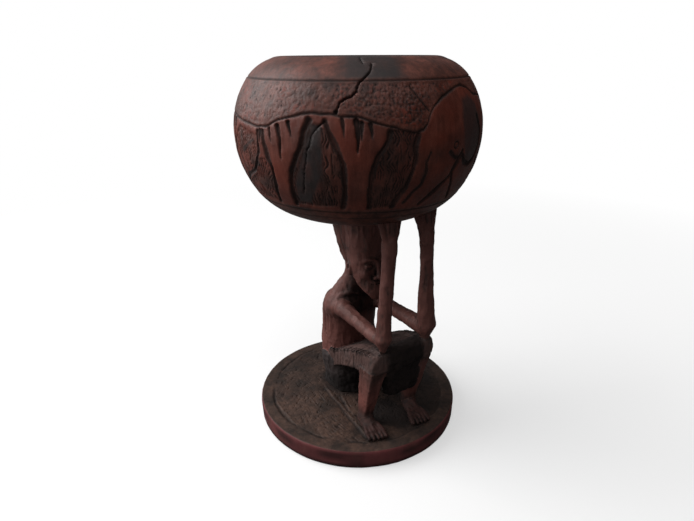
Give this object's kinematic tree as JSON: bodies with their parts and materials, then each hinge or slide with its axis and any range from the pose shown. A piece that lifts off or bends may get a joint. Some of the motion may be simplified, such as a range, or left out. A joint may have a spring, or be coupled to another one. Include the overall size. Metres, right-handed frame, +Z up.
{
  "type": "carved wooden bowl",
  "caption": "Deep round hardwood bowl with a carved frieze, held up on the hands and head of a seated carved figure on a thick round base.",
  "frame": {"origin": "centre of the underside of the base", "axes": "+Z up through the middle of the base and the bowl; the figure looks towards -Y, turned 35 degrees towards +X"},
  "size_m": [0.161, 0.161, 0.26],
  "materials": {
    "bowl_wood": "oiled, red-brown, with blackened recesses",
    "figure_wood": "oiled, red-brown, knife-finished",
    "dark_wood": "darkened and rough-cut",
    "base_wood": "gouged top, smooth oiled side"
  },
  "bodies": {
    "root": {"base_disc": "base_wood", "seat_block": "dark_wood", "torso": "figure_wood", "loincloth": "dark_wood", "head": "figure_wood", "hair": "figure_wood", "right_foot": "figure_wood", "right_lower_leg": "figure_wood", "right_upper_arm": "figure_wood", "right_forearm": "figure_wood", "right_hand": "figure_wood", "left_foot": "figure_wood", "left_lower_leg": "figure_wood", "left_upper_arm": "figure_wood", "left_forearm": "figure_wood", "left_hand": "figure_wood", "bowl": "bowl_wood"}
  },
  "joints": []
}
